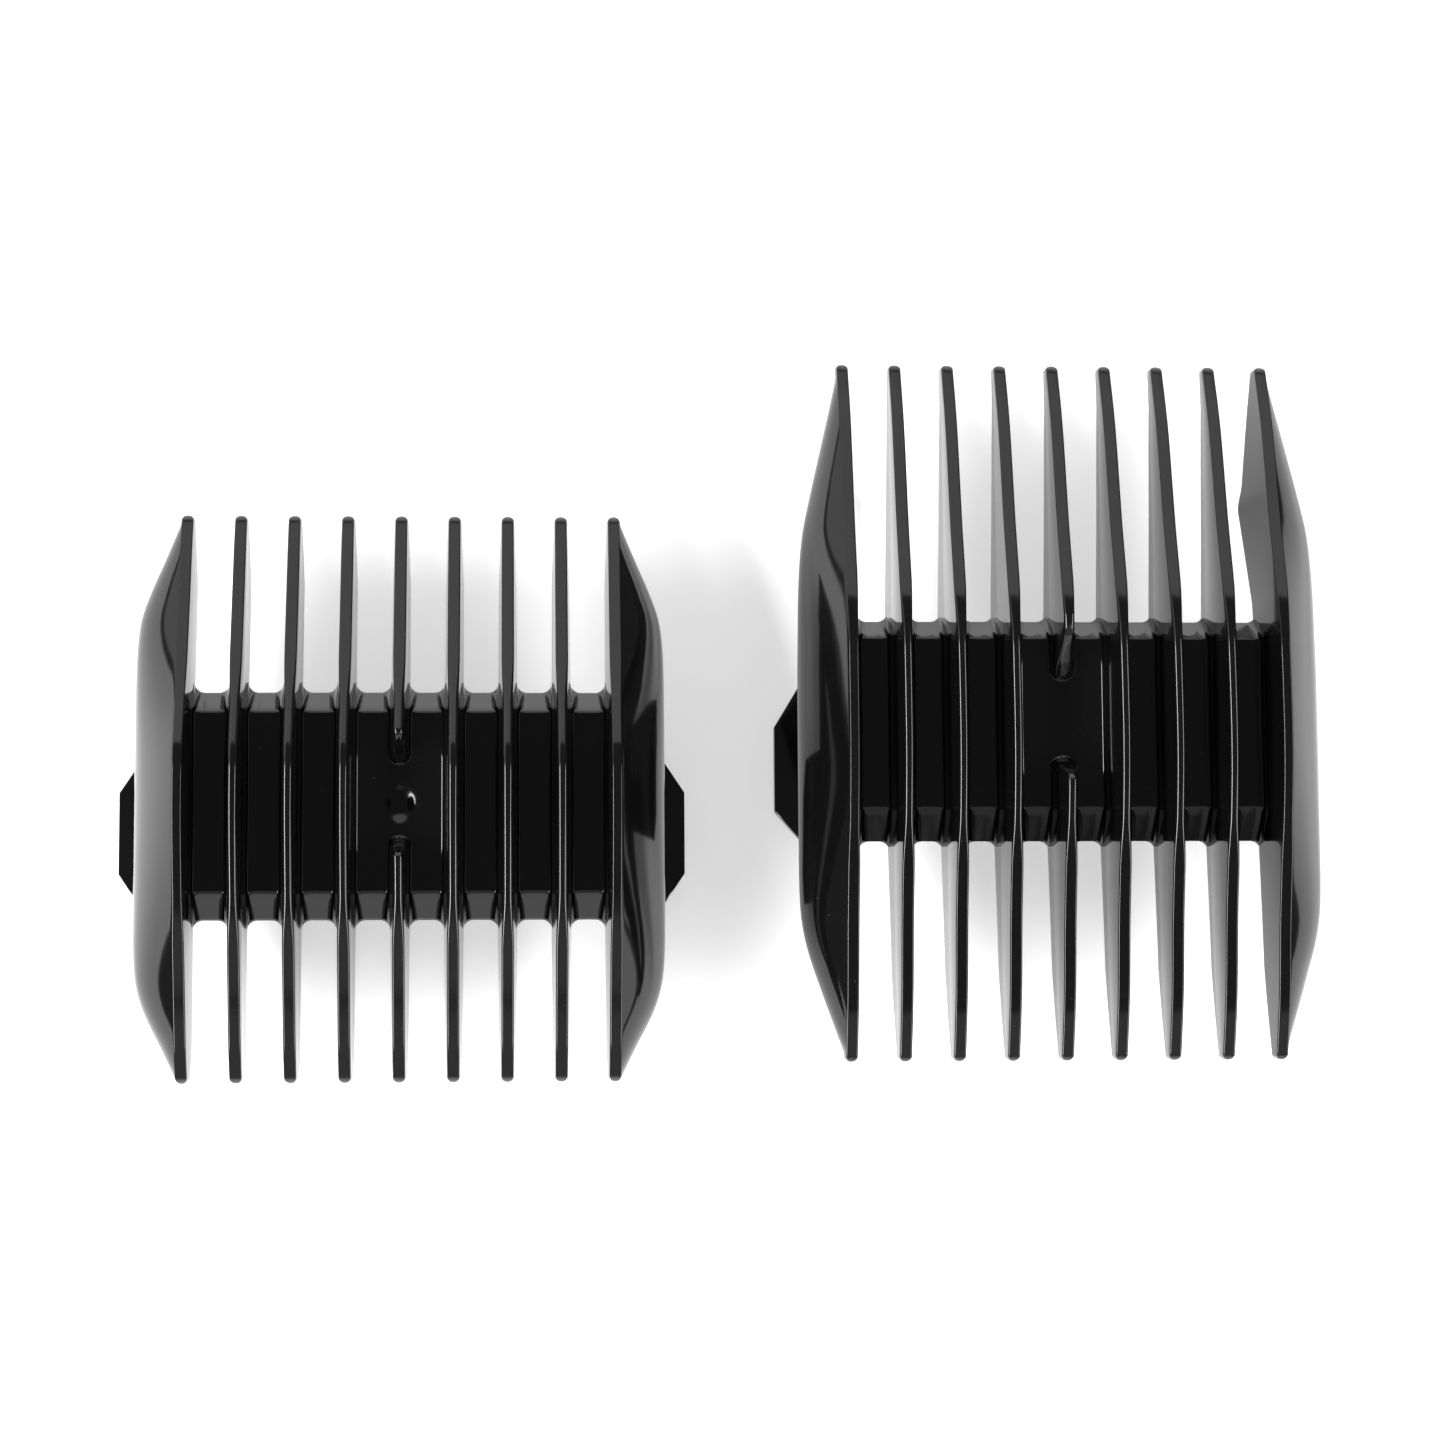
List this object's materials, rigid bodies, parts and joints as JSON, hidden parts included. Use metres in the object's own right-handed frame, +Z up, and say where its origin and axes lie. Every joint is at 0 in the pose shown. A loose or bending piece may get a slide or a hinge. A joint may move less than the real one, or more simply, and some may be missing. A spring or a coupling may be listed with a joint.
{
  "type": "hair clipper guide comb pair",
  "caption": "Pair of loose double-ended guide combs for a hair clipper: parallel teeth over a cross bridge, flared side walls and clip arms with finger tabs.",
  "frame": {"origin": "on the surface the combs stand on, under the centre of the pair's bounding box", "axes": "+X across the teeth, from the short comb to the long comb; +Y along the teeth; +Z up, towards the side that glides on the skin"},
  "size_m": [0.1074, 0.0634, 0.0192],
  "materials": {
    "comb_plastic": "black, moulded, high gloss"
  },
  "bodies": {
    "long_comb": {"long_guide_comb": "comb_plastic"},
    "short_comb": {"short_guide_comb": "comb_plastic"}
  },
  "joints": [
    {"name": "short_comb_lift", "type": "slide", "parent": "long_comb", "child": "short_comb", "axis": [0, 0, 1], "range_m": [0, 0.05]}
  ]
}
